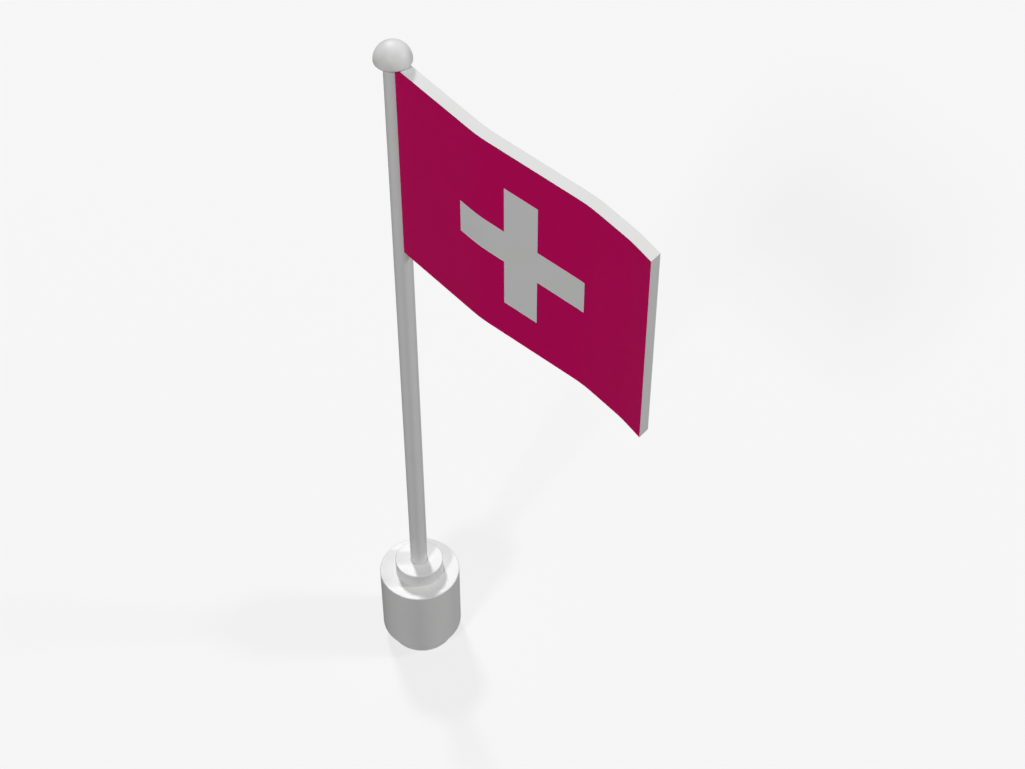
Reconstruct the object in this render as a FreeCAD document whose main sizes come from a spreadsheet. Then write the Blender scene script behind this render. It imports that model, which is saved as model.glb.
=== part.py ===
import FreeCAD, Part
import math
import os
import Sketcher
from FreeCAD import Placement, Rotation, Vector

# A toy-brick flag: a stiff waved flag panel on a thin pole, whose foot turns in the stud of a
# round base brick. Millimetres. The origin is the centre of the brick's underside, +Z goes up
# the pole, and +X points from the pole towards the flag's free end.

DIMENSIONS = {
    # base brick
    "brick_radius": 4.0,
    "brick_height": 9.6,        # from the foot to the deck
    "foot_radius": 3.2,
    "foot_height": 1.6,
    "stud_radius": 2.4,
    "stud_height": 1.6,         # above the deck
    "socket_radius": 2.4,       # grips a stud from below
    "socket_depth": 6.4,
    "seat_floor": 0.8,          # plastic under the pole's foot
    "rim_radius": 0.1,          # rounding of the brick's outer rims
    # pole and ball
    "pole_radius": 0.84,
    "pole_play": 0.03,          # radial gap between the pole and its hole in the brick
    "pole_lead": 0.15,          # chamfer on the pole's foot
    "pole_tenon": 0.4,          # how far the pole reaches above the ball's widest ring
    "ball_radius": 1.6,
    "ball_widest": 72.77,       # height of the ball's widest ring
    "ball_belly": 0.5,          # depth of the flatter half below the widest ring
    # flag panel
    "flag_top": 72.76,          # where the top edge's line meets the pole's axis
    "flag_height": 19.4,
    "flag_end": 25.7,           # from the pole's axis to the free end
    "flag_front": 0.52,         # how far the front face starts in front of the axis
    "flag_thickness": 1.2,      # over both prints
    "flag_droop": 14.0,         # degrees by which the top and bottom edges fall
    "print_thickness": 0.02,
    # the panel's wave: four straight stretches, joined by three bends of one radius
    "wave_radius": 10.0,
    "wave_stretch_a": 8.54,
    "wave_stretch_b": 8.29,
    "wave_stretch_c": 2.74,
    "wave_heading_a": -2.9,     # degrees from +X towards the back
    "wave_heading_b": 6.5,
    "wave_heading_c": -3.8,
    "wave_heading_d": -10.7,
    # the cross that the prints leave open
    "cross_span": 12.2,
    "cross_arm": 3.2,           # width of each arm
    "cross_center": 13.25,      # from the pole's axis to the cross's middle
    # how deep the outlines cut through the panel, which is thinner
    "tool_depth": 8.0,
}

SUBPARTS = ["base_brick", "pole", "finial", "flag_panel", "front_print", "back_print"]
PARTS_FOLDER = "parts"

# The numbers that stand for a sketch's own axes, and for a curve's points
HORIZONTAL_AXIS = -1
UPRIGHT_AXIS = -2
START = 1
END = 2
CENTER = 3
ORIGIN = (HORIZONTAL_AXIS, START)


def make_sheet(doc):
    """Puts the driving dimensions into a spreadsheet, with an alias each."""
    sheet = doc.addObject("Spreadsheet::Sheet", "dims")
    for row, (alias, value) in enumerate(DIMENSIONS.items(), start=1):
        sheet.set(f"A{row}", alias)
        sheet.set(f"B{row}", str(value))
        sheet.setAlias(f"B{row}", alias)
    doc.recompute()


# Sketches


def value_of(thing, expression):
    """What an expression gives now, with an angle in radians."""
    result = thing.evalExpression(expression)
    if isinstance(result, FreeCAD.Units.Quantity) and result.Unit.Type == "Angle":
        return result.getValueAs("rad").Value
    return float(result)


def relate(sketch, kind, *where):
    """Adds a constraint that has no value."""
    sketch.addConstraint(Sketcher.Constraint(kind, *where))


def dimension(sketch, name, expression, kind, *where):
    """Adds a dimension that is bound to the sheet."""
    value = value_of(sketch, expression)
    index = sketch.addConstraint(Sketcher.Constraint(kind, *where, value))
    sketch.renameConstraint(index, name)
    sketch.setExpression("Constraints." + name, expression)


def draw_polygon(sketch, corners):
    """Draws a closed outline whose line i starts at corner i."""
    spots = [Vector(x, y, 0) for x, y in corners]
    lines = []
    for start, end in zip(spots, spots[1:] + spots[:1]):
        lines.append(sketch.addGeometry(Part.LineSegment(start, end), False))
    for line, following in zip(lines, lines[1:] + lines[:1]):
        relate(sketch, "Coincident", line, END, following, START)
    return lines


def body_sketch(body, name, role):
    """Makes a sketch on one of the body's own origin planes."""
    sketch = body.newObject("Sketcher::SketchObject", name)
    plane = next(plane for plane in body.Origin.OriginFeatures if plane.Role == role)
    sketch.AttachmentSupport = [(plane, "")]
    sketch.MapMode = "FlatFace"
    return sketch


def side_sketch(doc, name):
    """Makes a sketch that stands upright along the flag, seen from the front."""
    sketch = doc.addObject("Sketcher::SketchObject", name)
    sketch.Placement = Placement(Vector(0, 0, 0), Rotation(Vector(1, 0, 0), 90))
    return sketch


# Base brick, pole and ball


def make_base_brick(doc):
    """Turns the hollow brick, its foot ring and its stud from one section."""
    body = doc.addObject("PartDesign::Body", "base_brick")
    section = body_sketch(body, "brick_section", "XZ_Plane")
    reach = {
        "socket": "dims.socket_radius",
        "foot": "dims.foot_radius",
        "barrel": "dims.brick_radius",
        "stud": "dims.stud_radius",
        "hole": "dims.pole_radius + dims.pole_play",
        "axis": "0",
    }
    level = {
        "ground": "0",
        "shoulder": "dims.foot_height",
        "deck": "dims.brick_height",
        "crown": "dims.brick_height + dims.stud_height",
        "seat": "dims.socket_depth + dims.seat_floor",
        "roof": "dims.socket_depth",
    }
    corners = [
        ("socket", "ground"), ("foot", "ground"), ("foot", "shoulder"), ("barrel", "shoulder"),
        ("barrel", "deck"), ("stud", "deck"), ("stud", "crown"), ("hole", "crown"),
        ("hole", "seat"), ("axis", "seat"), ("axis", "roof"), ("socket", "roof"),
    ]
    spots = [(value_of(section, reach[r]), value_of(section, level[z])) for r, z in corners]
    lines = draw_polygon(section, spots)
    for line in lines[0::2]:
        relate(section, "Horizontal", line)
    for line in lines[1::2]:
        relate(section, "Vertical", line)
    across = {name: line for (name, _), line in zip(corners, lines)}
    upward = {name: line for (_, name), line in zip(corners, lines)}
    relate(section, "PointOnObject", across.pop("axis"), START, UPRIGHT_AXIS)
    relate(section, "PointOnObject", upward.pop("ground"), START, HORIZONTAL_AXIS)
    for name, line in across.items():
        dimension(section, name, reach[name], "DistanceX", *ORIGIN, line, START)
    for name, line in upward.items():
        dimension(section, name, level[name], "DistanceY", *ORIGIN, line, START)

    turned = body.newObject("PartDesign::Revolution", "brick_turned")
    turned.Profile = section
    turned.ReferenceAxis = (section, ["V_Axis"])
    turned.Angle = 360
    doc.recompute()
    rims = [("foot", "ground"), ("barrel", "shoulder"), ("barrel", "deck"), ("stud", "crown")]
    edges = []
    for radius_name, level_name in rims:
        radius = value_of(section, reach[radius_name])
        height = value_of(section, level[level_name])
        edges.append(ring_edge(turned.Shape, radius, height))
    rounded = body.newObject("PartDesign::Fillet", "brick_rims")
    rounded.Base = (turned, edges)
    rounded.setExpression("Radius", "dims.rim_radius")


def ring_edge(shape, radius, height):
    """Names the circular edge of one radius at one height."""
    for number, edge in enumerate(shape.Edges, start=1):
        curve = edge.Curve
        if not isinstance(curve, Part.Circle):
            continue
        if math.isclose(curve.Radius, radius) and abs(curve.Center.z - height) < 1e-6:
            return f"Edge{number}"
    raise ValueError(f"no ring of radius {radius} at height {height}")


def make_pole(doc):
    """Makes the rod, from the floor of its hole in the brick to inside the ball."""
    body = doc.addObject("PartDesign::Body", "pole")
    ring = body_sketch(body, "pole_ring", "XY_Plane")
    ring.setExpression("AttachmentOffset.Base.z", "dims.socket_depth + dims.seat_floor")
    radius = value_of(ring, "dims.pole_radius")
    circle = ring.addGeometry(Part.Circle(Vector(0, 0, 0), Vector(0, 0, 1), radius), False)
    relate(ring, "Coincident", circle, CENTER, *ORIGIN)
    dimension(ring, "radius", "dims.pole_radius", "Radius", circle)

    rod = body.newObject("PartDesign::Pad", "pole_rod")
    rod.Profile = ring
    rod.setExpression(
        "Length", "dims.ball_widest + dims.pole_tenon - dims.socket_depth - dims.seat_floor")
    doc.recompute()
    foot = value_of(ring, "dims.socket_depth + dims.seat_floor")
    lead = body.newObject("PartDesign::Chamfer", "pole_foot")
    lead.Base = (rod, [ring_edge(rod.Shape, radius, foot)])
    lead.setExpression("Size", "dims.pole_lead")


def make_finial(doc):
    """Makes the bun-shaped ball: half a sphere above a flatter belly, with a hole for the pole."""
    dome = doc.addObject("Part::Sphere", "ball_dome")
    dome.Angle1 = 0
    dome.Angle2 = 90
    dome.setExpression("Radius", "dims.ball_radius")
    belly = doc.addObject("Part::Ellipsoid", "ball_belly")
    belly.Angle1 = -90
    belly.Angle2 = 0
    belly.setExpression("Radius1", "dims.ball_belly")
    belly.setExpression("Radius2", "dims.ball_radius")
    bun = doc.addObject("Part::MultiFuse", "ball_bun")
    bun.Shapes = [dome, belly]
    for half in bun.Shapes:
        half.setExpression("Placement.Base.z", "dims.ball_widest")

    hole = doc.addObject("Part::Cylinder", "ball_hole")
    hole.setExpression("Radius", "dims.pole_radius")
    hole.setExpression("Height", "dims.ball_belly + dims.pole_tenon")
    hole.setExpression("Placement.Base.z", "dims.ball_widest - dims.ball_belly")
    finial = doc.addObject("Part::Cut", "finial")
    finial.Base = bun
    finial.Tool = hole


# Flag panel and prints


def leftward(heading):
    """The unit vector to the left of a heading."""
    return Vector(-math.sin(heading), math.cos(heading), 0)


def draw_bend(sketch, spot, before, after, radius):
    """Draws the arc from one heading to the next.

    Gives the arc, which of its ends is near and which is far, and the far end's place.
    """
    turn = math.copysign(1, after - before)
    center = spot + leftward(before) * radius * turn
    angles = sorted(heading - turn * math.pi / 2 for heading in (before, after))
    circle = Part.Circle(center, Vector(0, 0, 1), radius)
    arc = sketch.addGeometry(Part.ArcOfCircle(circle, *angles), False)
    near, far = (START, END) if turn > 0 else (END, START)
    return arc, near, far, center - leftward(after) * radius * turn


def draw_wave(sketch, face, depth):
    """Draws one face's line out from the pole's axis, and gives its first and last line."""
    radius = value_of(sketch, "dims.wave_radius")
    spot = Vector(0, depth, 0)
    lines = []
    for letter in "abcd":
        turning = f"dims.wave_heading_{letter} * 1 deg"
        heading = value_of(sketch, turning)
        if lines:
            arc, near, far, spot = draw_bend(sketch, spot, previous, heading, radius)
            relate(sketch, "Tangent", lines[-1], END, arc, near)
            dimension(sketch, f"{face}_bend_{letter}", "dims.wave_radius", "Radius", arc)
        if letter == "d":
            length = (value_of(sketch, "dims.flag_end") - spot.x) / math.cos(heading)
        else:
            length = value_of(sketch, f"dims.wave_stretch_{letter}")
        ahead = Vector(math.cos(heading), math.sin(heading), 0)
        line = sketch.addGeometry(Part.LineSegment(spot, spot + ahead * length), False)
        dimension(sketch, f"{face}_heading_{letter}", turning, "Angle", line)
        if lines:
            relate(sketch, "Tangent", arc, far, line, START)
        if letter == "d":
            dimension(sketch, f"{face}_end", "dims.flag_end", "DistanceX", *ORIGIN, line, END)
        else:
            dimension(sketch, f"{face}_stretch_{letter}", f"dims.wave_stretch_{letter}",
                      "Distance", line)
        lines.append(line)
        spot = spot + ahead * length
        previous = heading
    return lines[0], lines[-1]


def extrude(doc, name, sketch, length, symmetric=False):
    """Extrudes a closed sketch along its normal."""
    prism = doc.addObject("Part::Extrusion", name)
    prism.Base = sketch
    prism.DirMode = "Normal"
    prism.Solid = True
    prism.Symmetric = symmetric
    prism.setExpression("LengthFwd", length)
    return prism


def make_wave_prism(doc, name, depth, thickness):
    """Makes a tall waved wall, whose front face lies one depth behind the flag's front."""
    sketch = doc.addObject("Sketcher::SketchObject", name + "_plan")
    sketch.setExpression("Placement.Base.y", f"{depth} - dims.flag_front")
    front_first, front_last = draw_wave(sketch, "front", 0)
    back_first, back_last = draw_wave(sketch, "back", value_of(sketch, thickness))
    for name_of_end, front, back, point in (("hoist", front_first, back_first, START),
                                            ("fly", front_last, back_last, END)):
        corners = sketch.getPoint(front, point), sketch.getPoint(back, point)
        line = sketch.addGeometry(Part.LineSegment(*corners), False)
        relate(sketch, "Coincident", front, point, line, START)
        relate(sketch, "Coincident", back, point, line, END)
    relate(sketch, "Coincident", front_first, START, *ORIGIN)
    relate(sketch, "PointOnObject", back_first, START, UPRIGHT_AXIS)
    dimension(sketch, "thickness", thickness, "DistanceY", *ORIGIN, back_first, START)
    return extrude(doc, name + "_wall", sketch, "dims.ball_widest")


def make_flag_outline(doc):
    """Makes the panel's drooping outline, as a prism from front to back."""
    sketch = side_sketch(doc, "flag_side")
    top = value_of(sketch, "dims.flag_top")
    height = value_of(sketch, "dims.flag_height")
    end = value_of(sketch, "dims.flag_end")
    fall = end * math.tan(value_of(sketch, "dims.flag_droop * 1 deg"))
    corners = [(0, top - height), (end, top - height - fall), (end, top - fall), (0, top)]
    bottom, fly, crest, hoist = draw_polygon(sketch, corners)
    relate(sketch, "Vertical", fly)
    relate(sketch, "Vertical", hoist)
    relate(sketch, "Parallel", bottom, crest)
    relate(sketch, "PointOnObject", hoist, START, UPRIGHT_AXIS)
    dimension(sketch, "droop", "-dims.flag_droop * 1 deg", "Angle", bottom)
    dimension(sketch, "top", "dims.flag_top", "DistanceY", *ORIGIN, hoist, START)
    dimension(sketch, "height", "dims.flag_height", "Distance", hoist)
    dimension(sketch, "end", "dims.flag_end", "DistanceX", *ORIGIN, fly, START)
    return extrude(doc, "flag_outline", sketch, "dims.tool_depth", symmetric=True)


def make_cross(doc):
    """Makes the cross as a prism: its upright arm is vertical, and its other arm droops."""
    sketch = side_sketch(doc, "cross_side")
    droop = value_of(sketch, "-dims.flag_droop * 1 deg")
    along = Vector(math.cos(droop), math.sin(droop), 0)
    up = Vector(0, 1, 0)
    span = value_of(sketch, "dims.cross_span")
    arm = value_of(sketch, "dims.cross_arm")
    middle_height = ("dims.flag_top - dims.flag_height / 2"
                     " - dims.cross_center * tan(dims.flag_droop * 1 deg)")
    middle = Vector(value_of(sketch, "dims.cross_center"), value_of(sketch, middle_height), 0)
    length = (span - arm) / 2
    steps = [along * arm, -up * length, along * length, -up * arm, -along * length,
             -up * length, -along * arm, up * length, -along * length, up * arm,
             along * length]
    spot = middle - along * (arm / 2) + up * (span / 2)
    corners = [(spot.x, spot.y)]
    for step in steps:
        spot = spot + step
        corners.append((spot.x, spot.y))
    lines = draw_polygon(sketch, corners)
    sloping, upright = lines[0::2], lines[1::2]
    for line in upright:
        relate(sketch, "Vertical", line)
    for line in sloping[1:]:
        relate(sketch, "Parallel", sloping[0], line)
    dimension(sketch, "droop", "-dims.flag_droop * 1 deg", "Angle", sloping[0])
    end_width = "dims.cross_arm"
    arm_length = "(dims.cross_span - dims.cross_arm) / 2"
    dimension(sketch, "upper_end", end_width, "Distance", lines[0])
    dimension(sketch, "outer_end", end_width, "Distance", lines[3])
    dimension(sketch, "arm_length", arm_length, "Distance", lines[1])
    for number in (2, 4, 5, 7, 8, 10, 11):
        relate(sketch, "Equal", lines[1], lines[number])
    center = sketch.addGeometry(Part.Point(middle), True)
    relate(sketch, "Symmetric", lines[0], START, lines[6], START, center, START)
    dimension(sketch, "center_out", "dims.cross_center", "DistanceX", *ORIGIN, center, START)
    dimension(sketch, "center_up", middle_height, "DistanceY", *ORIGIN, center, START)
    return extrude(doc, "cross_cutter", sketch, "dims.tool_depth", symmetric=True)


def make_flag(doc):
    """Makes the panel and its two prints, fitted to the pole and the ball."""
    outline = make_flag_outline(doc)
    mast_cutter = doc.addObject("Part::MultiFuse", "mast_cutter")
    mast_cutter.Shapes = [doc.getObject("pole"), doc.getObject("finial")]
    print_cutter = doc.addObject("Part::MultiFuse", "print_cutter")
    print_cutter.Shapes = [mast_cutter, make_cross(doc)]
    ink = "dims.print_thickness"
    panel = "dims.flag_thickness - 2 * dims.print_thickness"
    back = "dims.flag_thickness - dims.print_thickness"
    for name, depth, thickness, cutter in (
            ("flag_panel", ink, panel, mast_cutter),
            ("front_print", "0", ink, print_cutter),
            ("back_print", back, ink, print_cutter)):
        trimmed = doc.addObject("Part::Common", name + "_trimmed")
        trimmed.Base = make_wave_prism(doc, name, depth, thickness)
        trimmed.Tool = outline
        layer = doc.addObject("Part::Cut", name)
        layer.Base = trimmed
        layer.Tool = cutter


# Whole model


def check(doc):
    """Stops if any object failed, or if a sub-part isn't one valid solid."""
    for thing in doc.Objects:
        if "Invalid" in thing.State or "Error" in thing.State:
            raise RuntimeError(f"{thing.Label} failed: {thing.State}")
        if thing.TypeId == "Sketcher::SketchObject" and thing.solve() != 0:
            raise RuntimeError(f"{thing.Label} doesn't solve")
    for name in SUBPARTS:
        shape = doc.getObject(name).Shape
        if shape.isNull() or not shape.isValid() or len(shape.Solids) != 1:
            raise RuntimeError(f"{name} isn't one valid solid")


def main():
    doc = FreeCAD.newDocument("brick_flag")
    make_sheet(doc)
    make_base_brick(doc)
    make_pole(doc)
    make_finial(doc)
    make_flag(doc)
    doc.recompute()
    check(doc)
    os.makedirs(PARTS_FOLDER, exist_ok=True)
    for name in SUBPARTS:
        shape = doc.getObject(name).Shape
        shape.exportStep(f"{PARTS_FOLDER}/{name}.step")
        print(f"{name}: {shape.Volume:.2f} mm3")


main()
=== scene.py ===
import math

import bpy
from mathutils import Euler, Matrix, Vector


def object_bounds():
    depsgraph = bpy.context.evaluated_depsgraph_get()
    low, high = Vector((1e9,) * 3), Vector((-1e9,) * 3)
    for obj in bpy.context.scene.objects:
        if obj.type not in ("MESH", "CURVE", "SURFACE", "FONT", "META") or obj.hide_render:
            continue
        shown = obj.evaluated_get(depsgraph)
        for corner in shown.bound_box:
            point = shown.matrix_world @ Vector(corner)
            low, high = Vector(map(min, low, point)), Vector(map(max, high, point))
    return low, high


# A toy-brick flag on a pale studio floor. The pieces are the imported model's own; this script
# gives them their plastic and their ink, and lights and frames them. Metres, in the row's frame.

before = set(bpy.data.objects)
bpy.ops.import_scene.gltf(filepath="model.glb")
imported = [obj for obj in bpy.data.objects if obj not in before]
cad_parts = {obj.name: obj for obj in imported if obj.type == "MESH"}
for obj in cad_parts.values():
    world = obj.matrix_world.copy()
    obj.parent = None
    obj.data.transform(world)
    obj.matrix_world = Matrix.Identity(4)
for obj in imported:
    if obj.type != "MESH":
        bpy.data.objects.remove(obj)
cad_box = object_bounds()

MILLIMETRE = 0.001
MICROMETRE = 0.000001

WHITE_PLASTIC = (0.80, 0.80, 0.80)
WORN_WHITE = (0.785, 0.785, 0.78)
GLOSSY = 0.32               # roughness of the base's and the flag's plastic where it is cleanest
SATIN = 0.44                # the same for the pole and the ball
HAZE = 0.10                 # how much rougher the plastic gets where it is hazed
PLASTIC_IOR = 1.50
CRIMSON_INK = (0.63, 0.0003, 0.125)
DEEP_CRIMSON = (0.61, 0.0003, 0.118)
INK_ROUGHNESS = (0.36, 0.48)
INK_IOR = 1.45
INK_SHINE = 0.12            # specular level, where 0.5 is usual

COLOUR_RANGE = (0.35, 0.70)     # the noise values over which a colour changes
GLOSS_RANGE = (0.30, 0.75)      # the noise values over which a roughness changes
FACING = 0.5                    # how much of a face's normal must point to the front or back

FLOOR_COLOUR = (0.20, 0.20, 0.20)
FLOOR_GLOW = 0.71           # the floor's own light, which keeps it pale
BACKDROP_GLOW = 0.74
STUDIO_RADIUS = 2.0         # metres
FLOOR_SIDES = 96
BACKDROP_SIDES = 48
PAINT_ROUGHNESS = 0.9
WHITE = (1.0, 1.0, 1.0)
BLACK = (0.0, 0.0, 0.0)

LIGHT_SIZE = 0.10           # metres
LIGHT_DISTANCE = 0.70
# Each light's bearing in degrees clockwise from the way that the camera looks, seen from
# above, its elevation in degrees, and its power in watts
LIGHTS = {
    "back_light": (-19, 48, 2.4),
    "right_light": (90, 28, 2.2),
    "front_light": (210, 38, 2.07),
}
AMBIENT = 0.14

CAMERA_PLACE = Vector((0.08649, -0.09333, 0.16681))
CAMERA_HEADING = 38.6       # degrees that the view turns left from +Y
CAMERA_PITCH = 45.82        # degrees that it looks down
CAMERA_LENS = 69.96         # millimetres, on the 36 mm sensor below
SENSOR_WIDTH = 36.0
NEAREST_SEEN = 0.01         # metres from the camera


# Materials


def add_node(material, kind, **settings):
    """Adds a shader node and sets its properties and its unlinked inputs by name."""
    node = material.node_tree.nodes.new(kind)
    for name, value in settings.items():
        if hasattr(node, name):
            setattr(node, name, value)
        else:
            node.inputs[name.replace("_", " ").title()].default_value = value
    return node


def new_material(name):
    """A node material and its Principled shader."""
    material = bpy.data.materials.new(name)
    material.use_nodes = True
    return material, material.node_tree.nodes["Principled BSDF"]


def millimetres(material):
    """The place on the object, in millimetres."""
    place = add_node(material, "ShaderNodeTexCoord")
    scaled = add_node(material, "ShaderNodeVectorMath", operation="SCALE")
    scaled.inputs["Scale"].default_value = 1 / MILLIMETRE
    material.node_tree.links.new(place.outputs["Object"], scaled.inputs[0])
    return scaled.outputs["Vector"]


def noise(material, where, size, detail=2.0, roughness=0.5):
    """A noise whose patches are about this many millimetres across."""
    texture = add_node(material, "ShaderNodeTexNoise", detail=detail, roughness=roughness)
    texture.inputs["Scale"].default_value = 1 / size
    material.node_tree.links.new(where, texture.inputs["Vector"])
    return texture.outputs["Fac"]


def ramp(material, value, colours):
    """Runs from the first colour to the second as a noise goes through its colour range."""
    node = add_node(material, "ShaderNodeValToRGB")
    for element, position, colour in zip(node.color_ramp.elements, COLOUR_RANGE, colours):
        element.position = position
        element.color = (*colour, 1.0)
    material.node_tree.links.new(value, node.inputs["Fac"])
    return node.outputs["Color"]


def spread(material, value, lowest, highest):
    """Runs from lowest to highest as a noise goes through its gloss range."""
    node = add_node(material, "ShaderNodeMapRange")
    for name, number in zip(("From Min", "From Max", "To Min", "To Max"),
                            (*GLOSS_RANGE, lowest, highest)):
        node.inputs[name].default_value = number
    material.node_tree.links.new(value, node.inputs["Value"])
    return node.outputs["Result"]


def on_faces(material, face_colour, rim_colour):
    """Gives the front and back faces one colour, and the rim between them the other."""
    link = material.node_tree.links.new
    place = add_node(material, "ShaderNodeTexCoord")
    direction = add_node(material, "ShaderNodeSeparateXYZ")
    link(place.outputs["Normal"], direction.inputs["Vector"])
    front_to_back = add_node(material, "ShaderNodeMath", operation="ABSOLUTE")
    link(direction.outputs["Y"], front_to_back.inputs[0])
    on_face = add_node(material, "ShaderNodeMath", operation="GREATER_THAN")
    link(front_to_back.outputs["Value"], on_face.inputs[0])
    on_face.inputs[1].default_value = FACING
    choice = add_node(material, "ShaderNodeMix", data_type="RGBA")
    link(on_face.outputs["Value"], choice.inputs["Factor"])
    rim, face = (socket for socket in choice.inputs if socket.type == "RGBA")
    rim.default_value = (*rim_colour, 1.0)
    link(face_colour, face)
    return next(socket for socket in choice.outputs if socket.type == "RGBA")


def bump(material, *layers):
    """Turns each layer's heights, from 0 to 1, into bumps of its depth, one on another."""
    below = None
    for height, depth in layers:
        node = add_node(material, "ShaderNodeBump")
        node.inputs["Strength"].default_value = 1.0
        node.inputs["Distance"].default_value = depth
        material.node_tree.links.new(height, node.inputs["Height"])
        if below is not None:
            material.node_tree.links.new(below, node.inputs["Normal"])
        below = node.outputs["Normal"]
    return below


def moulded_plastic(name, roughness):
    """White moulded plastic: faint orange peel, handling haze and fine mottling."""
    material, shader = new_material(name)
    link = material.node_tree.links.new
    where = millimetres(material)
    mottle = noise(material, where, size=2.4, detail=4.0)
    haze = noise(material, where, size=0.9, detail=5.0, roughness=0.65)
    peel = noise(material, where, size=0.55, detail=1.0)
    grain = noise(material, where, size=0.09, detail=2.0)
    relief = bump(material, (peel, 1.2 * MICROMETRE), (grain, 0.2 * MICROMETRE))
    link(ramp(material, mottle, (WORN_WHITE, WHITE_PLASTIC)), shader.inputs["Base Color"])
    link(spread(material, haze, roughness, roughness + HAZE), shader.inputs["Roughness"])
    link(relief, shader.inputs["Normal"])
    shader.inputs["IOR"].default_value = PLASTIC_IOR
    return material


def printed_ink(name):
    """Crimson printed ink: an even film with a fine stipple and a slightly uneven gloss.

    The film's own rim is too thin to see, so it takes the colour of the plastic beside it.
    """
    material, shader = new_material(name)
    link = material.node_tree.links.new
    where = millimetres(material)
    density = noise(material, where, size=1.6, detail=5.0, roughness=0.6)
    sheen = noise(material, where, size=0.7, detail=4.0)
    stipple = noise(material, where, size=0.12, detail=2.0)
    colour = ramp(material, density, (DEEP_CRIMSON, CRIMSON_INK))
    link(on_faces(material, colour, WHITE_PLASTIC), shader.inputs["Base Color"])
    link(spread(material, sheen, *INK_ROUGHNESS), shader.inputs["Roughness"])
    link(bump(material, (stipple, 0.4 * MICROMETRE)), shader.inputs["Normal"])
    shader.inputs["IOR"].default_value = INK_IOR
    shader.inputs["Specular IOR Level"].default_value = INK_SHINE
    return material


def dress():
    """Gives every node its finish."""
    brick = moulded_plastic("brick_plastic", GLOSSY)
    mast = moulded_plastic("mast_plastic", SATIN)
    flag = moulded_plastic("flag_plastic", GLOSSY)
    ink = printed_ink("print_ink")
    finishes = {
        "base_brick": brick,
        "pole": mast,
        "finial": mast,
        "flag_panel": flag,
        "front_print": ink,
        "back_print": ink,
    }
    for name, material in finishes.items():
        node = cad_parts[name]
        for place in node.material_slots:
            place.material = material


# Studio


def glowing_paint(name, colour, glow):
    """Matt paint that also gives some light of its own."""
    material, shader = new_material(name)
    shader.inputs["Base Color"].default_value = (*colour, 1.0)
    shader.inputs["Roughness"].default_value = PAINT_ROUGHNESS
    shader.inputs["Emission Color"].default_value = (*WHITE, 1.0)
    shader.inputs["Emission Strength"].default_value = glow
    return material


def make_studio():
    """A plain pale floor under the brick's foot, and a plain pale dome over it.

    Both are seen by the camera only, so that the lights alone shade the object.
    """
    bpy.ops.mesh.primitive_circle_add(
        vertices=FLOOR_SIDES, radius=STUDIO_RADIUS, fill_type="NGON",
        location=(0, 0, cad_box[0].z))
    floor = bpy.context.object
    floor.name = "floor"
    floor.data.materials.append(glowing_paint("floor_paint", FLOOR_COLOUR, FLOOR_GLOW))
    bpy.ops.mesh.primitive_uv_sphere_add(
        segments=BACKDROP_SIDES, ring_count=BACKDROP_SIDES // 2, radius=STUDIO_RADIUS)
    backdrop = bpy.context.object
    backdrop.name = "backdrop"
    backdrop.data.materials.append(glowing_paint("backdrop_paint", BLACK, BACKDROP_GLOW))
    backdrop.visible_shadow = False
    for surface in (floor, backdrop):
        surface.visible_diffuse = False
        surface.visible_glossy = False


def studio_light(name, bearing, elevation, power):
    """A square light that points at the object."""
    around = math.radians(90 + CAMERA_HEADING - bearing)
    up = math.radians(elevation)
    middle = (cad_box[0] + cad_box[1]) / 2
    level = math.cos(up)
    towards = Vector((level * math.cos(around), level * math.sin(around), math.sin(up)))
    data = bpy.data.lights.new(name, "AREA")
    data.size = LIGHT_SIZE
    data.energy = power
    light = bpy.data.objects.new(name, data)
    light.location = middle + towards * LIGHT_DISTANCE
    light.rotation_euler = towards.to_track_quat("Z", "Y").to_euler()
    bpy.context.scene.collection.objects.link(light)


def make_lights():
    """A light behind the object, one on its right and one over its left front, and a surround."""
    for name, (bearing, elevation, power) in LIGHTS.items():
        studio_light(name, bearing, elevation, power)
    world = bpy.data.worlds.new("surround")
    world.use_nodes = True
    background = world.node_tree.nodes["Background"]
    background.inputs["Color"].default_value = (*WHITE, 1.0)
    background.inputs["Strength"].default_value = AMBIENT
    bpy.context.scene.world = world


def make_camera():
    """A camera that looks down on the flag's front, from the side of its free end."""
    data = bpy.data.cameras.new("camera")
    data.sensor_width = SENSOR_WIDTH
    data.lens = CAMERA_LENS
    data.clip_start = NEAREST_SEEN
    camera = bpy.data.objects.new("camera", data)
    camera.location = CAMERA_PLACE
    camera.rotation_euler = Euler(
        (math.radians(90 - CAMERA_PITCH), 0, math.radians(CAMERA_HEADING)))
    bpy.context.scene.collection.objects.link(camera)
    bpy.context.scene.camera = camera


dress()
make_studio()
make_lights()
make_camera()
bpy.context.scene.view_settings.view_transform = "Standard"
